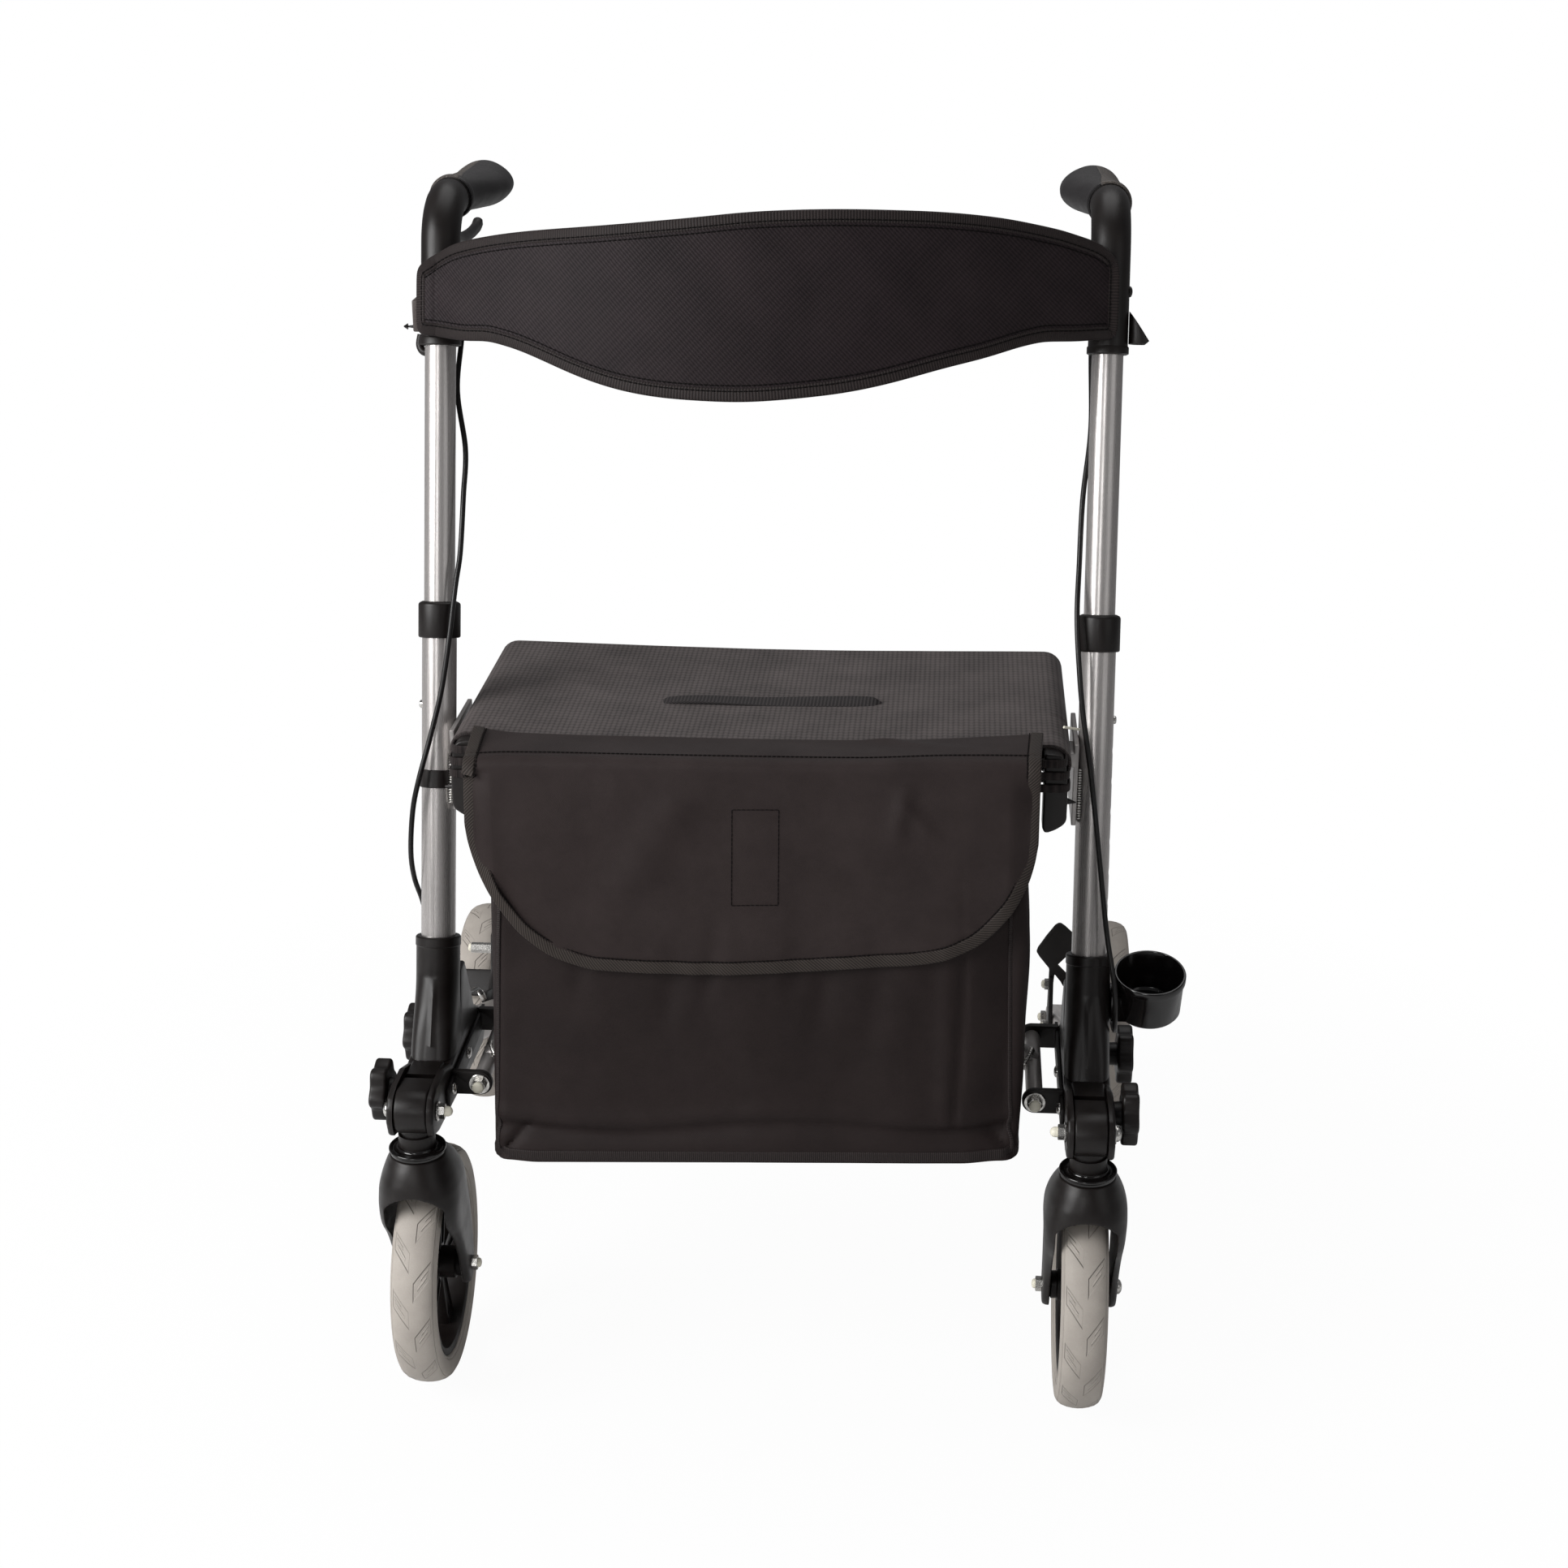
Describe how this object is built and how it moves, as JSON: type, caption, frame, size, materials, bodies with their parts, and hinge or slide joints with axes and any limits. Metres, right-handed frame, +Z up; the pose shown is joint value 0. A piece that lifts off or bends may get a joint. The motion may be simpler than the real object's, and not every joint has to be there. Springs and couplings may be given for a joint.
{
  "type": "rollator",
  "caption": "Folding rollator with height-adjusted handles, lever brakes, swivel casters on hinged blocks, sling seat, backrest band, bag and stick holder.",
  "frame": {"origin": "middle of the bounding box, on the floor that the wheels stand on", "axes": "+Z up, -Y the way the walker faces, +X to the side that carries the stick cup"},
  "size_m": [0.6884, 0.703, 0.9734],
  "materials": {
    "silver_tube": "satin silver anodised",
    "black_plastic": "satin black moulding",
    "satin_plastic": "smooth black moulding",
    "gloss_plastic": "glossy black",
    "painted_steel": "black powder coat",
    "zinc_steel": "zinc plated",
    "tyre": "warm light grey solid tyre",
    "webbing": "black woven nylon",
    "seat_mesh": "grey-brown woven mesh",
    "cable": "black cable sheath"
  },
  "bodies": {
    "left_side": {"left_main_tube": "silver_tube", "left_tube_collar": "black_plastic", "left_frame_moulding": "black_plastic", "left_rear_leg": "silver_tube", "left_rear_axle": "zinc_steel", "left_hinge_bolt": "zinc_steel", "left_tip_pedal": "painted_steel", "left_brace_bracket": "painted_steel", "left_seat_cradle": "silver_tube", "left_brake_cable": "cable", "seat_sling": "seat_mesh", "seat_pull_strap": "webbing", "bag": "webbing"},
    "right_side": {"right_main_tube": "silver_tube", "right_tube_collar": "black_plastic", "right_frame_moulding": "black_plastic", "right_rear_leg": "silver_tube", "right_rear_axle": "zinc_steel", "right_hinge_bolt": "zinc_steel", "right_tip_pedal": "painted_steel", "right_brace_bracket": "painted_steel", "right_seat_cradle": "silver_tube", "right_brake_cable": "cable", "stick_cup": "gloss_plastic"},
    "brace_a": {"x_brace_a": "silver_tube", "brace_pivot_bolt": "zinc_steel"},
    "brace_b": {"x_brace_b": "silver_tube"},
    "flap": {"bag_flap": "webbing"},
    "left_handle": {"left_height_tube": "silver_tube", "left_handle_housing": "black_plastic", "left_grip": "satin_plastic", "backrest": "webbing"},
    "left_button": {"left_snap_button": "zinc_steel"},
    "left_lever": {"left_brake_lever": "black_plastic"},
    "left_caster": {"left_caster_block": "black_plastic"},
    "left_fork": {"left_caster_fork": "satin_plastic", "left_front_axle": "zinc_steel"},
    "left_front_wheel": {"left_front_tyre": "tyre", "left_front_rim": "satin_plastic"},
    "left_rear_wheel": {"left_rear_tyre": "tyre", "left_rear_rim": "satin_plastic"},
    "left_front_knob": {"left_front_lock_knob": "black_plastic"},
    "left_rear_knob": {"left_rear_lock_knob": "black_plastic"},
    "left_brake": {"left_brake_arm": "painted_steel"},
    "right_handle": {"right_height_tube": "silver_tube", "right_handle_housing": "black_plastic", "right_grip": "satin_plastic", "stick_clip": "black_plastic"},
    "right_button": {"right_snap_button": "zinc_steel"},
    "right_lever": {"right_brake_lever": "black_plastic"},
    "right_caster": {"right_caster_block": "black_plastic"},
    "right_fork": {"right_caster_fork": "satin_plastic", "right_front_axle": "zinc_steel"},
    "right_front_wheel": {"right_front_tyre": "tyre", "right_front_rim": "satin_plastic"},
    "right_rear_wheel": {"right_rear_tyre": "tyre", "right_rear_rim": "satin_plastic"},
    "right_front_knob": {"right_front_lock_knob": "black_plastic"},
    "right_rear_knob": {"right_rear_lock_knob": "black_plastic"},
    "right_brake": {"right_brake_arm": "painted_steel"}
  },
  "joints": [
    {"name": "fold", "type": "hinge", "parent": "left_side", "child": "brace_a", "pos_m": [-0.23645, -0.1775, 0.263], "axis": [0, -1, 0], "range_deg": [0, 48], "deforming": ["seat_sling", "seat_pull_strap", "backrest", "bag", "bag_flap"]},
    {"name": "brace_cross", "type": "hinge", "parent": "brace_a", "child": "brace_b", "pos_m": [-0.00715, -0.14053, 0.40099], "axis": [0, -1, 0], "range_deg": [-96, 0]},
    {"name": "right_lower_pivot", "type": "hinge", "parent": "brace_b", "child": "right_side", "pos_m": [0.22215, -0.1775, 0.263], "axis": [0, -1, 0], "range_deg": [0, 48]},
    {"name": "flap_hinge", "type": "hinge", "parent": "left_side", "child": "flap", "pos_m": [-0.00715, -0.1985, 0.5593], "axis": [1, 0, 0], "range_deg": [-100, 0]},
    {"name": "left_height", "type": "slide", "parent": "left_side", "child": "left_handle", "axis": [0, 0.2588, 0.9659], "range_m": [-0.15, 0], "deforming": ["left_brake_cable", "left_snap_button"]},
    {"name": "left_button_press", "type": "slide", "parent": "left_handle", "child": "left_button", "axis": [1, 0, 0], "range_m": [0, 0.004], "stiffness_N_per_m": 600},
    {"name": "left_lever_squeeze", "type": "hinge", "parent": "left_handle", "child": "left_lever", "pos_m": [-0.27865, 0.0075, 0.9265], "axis": [1, 0, 0], "range_deg": [0, 8], "stiffness_Nm_per_rad": 4},
    {"name": "left_caster_fold", "type": "hinge", "parent": "left_side", "child": "left_caster", "pos_m": [-0.27865, -0.2979, 0.2692], "axis": [1, 0, 0], "range_deg": [-105, 0]},
    {"name": "left_swivel", "type": "hinge", "parent": "left_caster", "child": "left_fork", "pos_m": [-0.27865, -0.2925, 0.2285], "axis": [0, 0, 1], "continuous": true},
    {"name": "left_front_spin", "type": "hinge", "parent": "left_fork", "child": "left_front_wheel", "pos_m": [-0.27865, -0.2515, 0.1], "axis": [1, 0, 0], "continuous": true},
    {"name": "left_rear_spin", "type": "hinge", "parent": "left_side", "child": "left_rear_wheel", "pos_m": [-0.32515, 0.2515, 0.1], "axis": [1, 0, 0], "continuous": true},
    {"name": "left_front_knob_turn", "type": "hinge", "parent": "left_side", "child": "left_front_knob", "pos_m": [-0.27865, -0.2655, 0.27], "axis": [1, 0, 0], "continuous": true},
    {"name": "left_rear_knob_turn", "type": "hinge", "parent": "left_side", "child": "left_rear_knob", "pos_m": [-0.27865, -0.116, 0.2475], "axis": [1, 0, 0], "continuous": true},
    {"name": "left_brake_swing", "type": "hinge", "parent": "left_side", "child": "left_brake", "pos_m": [-0.27865, 0.1125, 0.157], "axis": [1, 0, 0], "range_deg": [-2.3, 0]},
    {"name": "right_height", "type": "slide", "parent": "right_side", "child": "right_handle", "axis": [0, 0.2588, 0.9659], "range_m": [-0.15, 0], "deforming": ["right_brake_cable", "right_snap_button"]},
    {"name": "right_button_press", "type": "slide", "parent": "right_handle", "child": "right_button", "axis": [-1, 0, 0], "range_m": [0, 0.004], "stiffness_N_per_m": 600},
    {"name": "right_lever_squeeze", "type": "hinge", "parent": "right_handle", "child": "right_lever", "pos_m": [0.26435, 0.0075, 0.9265], "axis": [1, 0, 0], "range_deg": [0, 8], "stiffness_Nm_per_rad": 4},
    {"name": "right_caster_fold", "type": "hinge", "parent": "right_side", "child": "right_caster", "pos_m": [0.26435, -0.2979, 0.2692], "axis": [1, 0, 0], "range_deg": [-105, 0]},
    {"name": "right_swivel", "type": "hinge", "parent": "right_caster", "child": "right_fork", "pos_m": [0.26435, -0.2925, 0.2285], "axis": [0, 0, 1], "continuous": true},
    {"name": "right_front_spin", "type": "hinge", "parent": "right_fork", "child": "right_front_wheel", "pos_m": [0.26435, -0.2515, 0.1], "axis": [1, 0, 0], "continuous": true},
    {"name": "right_rear_spin", "type": "hinge", "parent": "right_side", "child": "right_rear_wheel", "pos_m": [0.31085, 0.2515, 0.1], "axis": [1, 0, 0], "continuous": true},
    {"name": "right_front_knob_turn", "type": "hinge", "parent": "right_side", "child": "right_front_knob", "pos_m": [0.26435, -0.2655, 0.27], "axis": [1, 0, 0], "continuous": true},
    {"name": "right_rear_knob_turn", "type": "hinge", "parent": "right_side", "child": "right_rear_knob", "pos_m": [0.26435, -0.116, 0.2475], "axis": [1, 0, 0], "continuous": true},
    {"name": "right_brake_swing", "type": "hinge", "parent": "right_side", "child": "right_brake", "pos_m": [0.26435, 0.1125, 0.157], "axis": [1, 0, 0], "range_deg": [-2.3, 0]}
  ],
  "couplings": [
    {"joint": "brace_cross", "follows": "fold", "ratio": -2},
    {"joint": "right_lower_pivot", "follows": "fold", "ratio": 1},
    {"joint": "left_brake_swing", "follows": "left_lever_squeeze", "ratio": -0.2875},
    {"joint": "right_brake_swing", "follows": "right_lever_squeeze", "ratio": -0.2875},
    {"joint": "right_height", "follows": "left_height", "ratio": 1}
  ]
}
